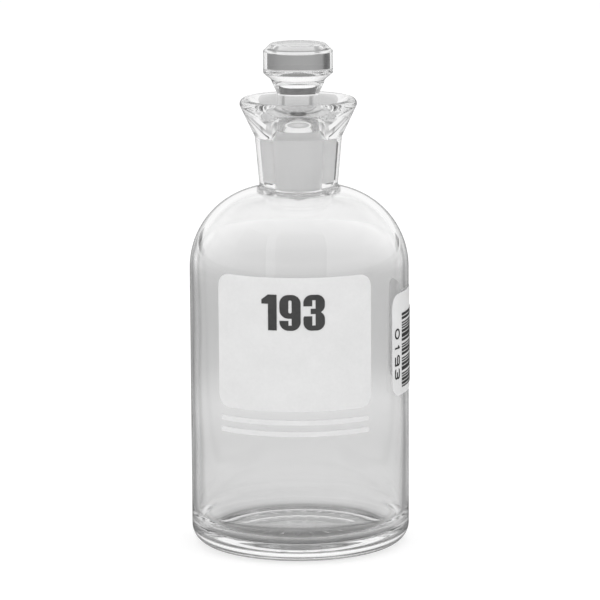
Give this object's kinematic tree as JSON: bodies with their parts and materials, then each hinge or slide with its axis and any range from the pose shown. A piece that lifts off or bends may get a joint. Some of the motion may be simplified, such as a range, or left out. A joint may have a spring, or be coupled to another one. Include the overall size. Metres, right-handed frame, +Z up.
{
  "type": "bod bottle",
  "caption": "Round clear glass incubation bottle with a flared water-seal mouth, a ground neck and a solid ground glass stopper.",
  "frame": {"origin": "centre of the ring that the bottle stands on, on the table", "axes": "+Z up along the bottle's axis, -Y towards the front patch, +X towards the side patch"},
  "size_m": [0.0673, 0.0673, 0.1542],
  "materials": {
    "clear_glass": "clear moulded glass, fire polished, with the inside of the neck ground to a satin white",
    "stopper_glass": "solid clear glass, with a satin ground plug",
    "white_enamel": "thin fired white enamel with a satin writing surface",
    "dark_enamel": "thin fired dark print, satin"
  },
  "bodies": {
    "bottle": {"bottle": "clear_glass", "front_patch": "white_enamel", "front_number": "dark_enamel", "front_lines": "white_enamel", "side_patch": "white_enamel", "side_bars": "dark_enamel", "side_digits": "dark_enamel"},
    "stopper": {"stopper": "stopper_glass"}
  },
  "joints": [
    {"name": "stopper_lift", "type": "slide", "parent": "bottle", "child": "stopper", "axis": [0, 0, 1], "range_m": [0, 0.034]}
  ]
}
